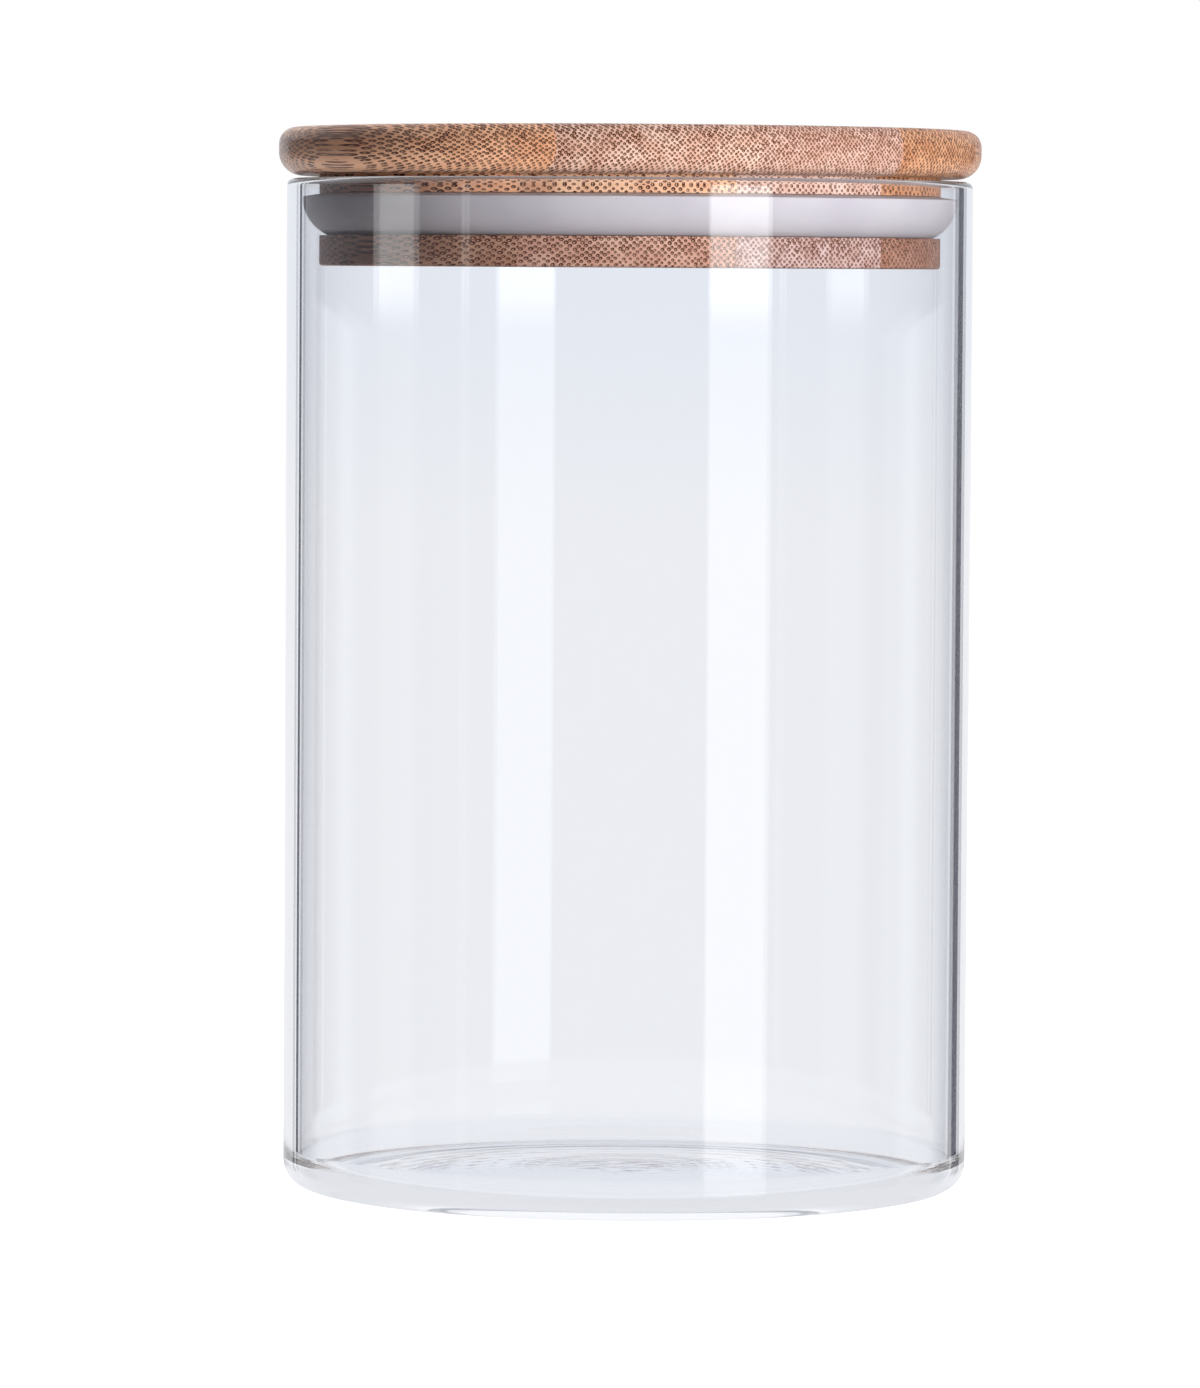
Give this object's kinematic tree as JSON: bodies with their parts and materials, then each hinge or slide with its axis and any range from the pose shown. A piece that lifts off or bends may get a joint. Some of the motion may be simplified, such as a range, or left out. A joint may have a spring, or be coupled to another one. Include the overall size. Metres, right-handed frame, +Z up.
{
  "type": "lidded glass canister",
  "caption": "Straight-sided clear glass storage canister, closed by a push-in lid of laminated bamboo slats whose plug carries a silicone seal ring; the lid lifts off and turns.",
  "frame": {"origin": "middle of the base, on the surface that the jar stands on", "axes": "+Z up along the jar's axis; the pictured side faces -Y; the slats' grain runs 35 degrees to the right of -Y"},
  "size_m": [0.1024, 0.1024, 0.1546],
  "materials": {
    "clear_glass": "clear borosilicate, fire-polished",
    "white_silicone": "satin translucent white silicone",
    "bamboo_golden": "sanded carbonised bamboo, thin satin oil",
    "bamboo_tan": "sanded carbonised bamboo, thin satin oil",
    "bamboo_amber": "sanded carbonised bamboo, thin satin oil"
  },
  "bodies": {
    "jar": {"glass_jar": "clear_glass"},
    "seal": {"silicone_seal": "white_silicone"},
    "lid": {"cap_strip_1": "bamboo_golden", "cap_strip_2": "bamboo_golden", "cap_strip_3": "bamboo_tan", "cap_strip_4": "bamboo_amber", "cap_strip_5": "bamboo_amber", "neck_strip_1": "bamboo_golden", "neck_strip_2": "bamboo_golden", "neck_strip_3": "bamboo_tan", "neck_strip_4": "bamboo_amber", "neck_strip_5": "bamboo_amber", "flange_strip_1": "bamboo_golden", "flange_strip_2": "bamboo_golden", "flange_strip_3": "bamboo_tan", "flange_strip_4": "bamboo_amber", "flange_strip_5": "bamboo_amber"}
  },
  "joints": [
    {"name": "lid_lift", "type": "slide", "parent": "jar", "child": "seal", "axis": [0, 0, 1], "range_m": [0, 0.12]},
    {"name": "lid_turn", "type": "hinge", "parent": "seal", "child": "lid", "pos_m": [0, 0, 0.1418], "axis": [0, 0, 1], "continuous": true}
  ]
}
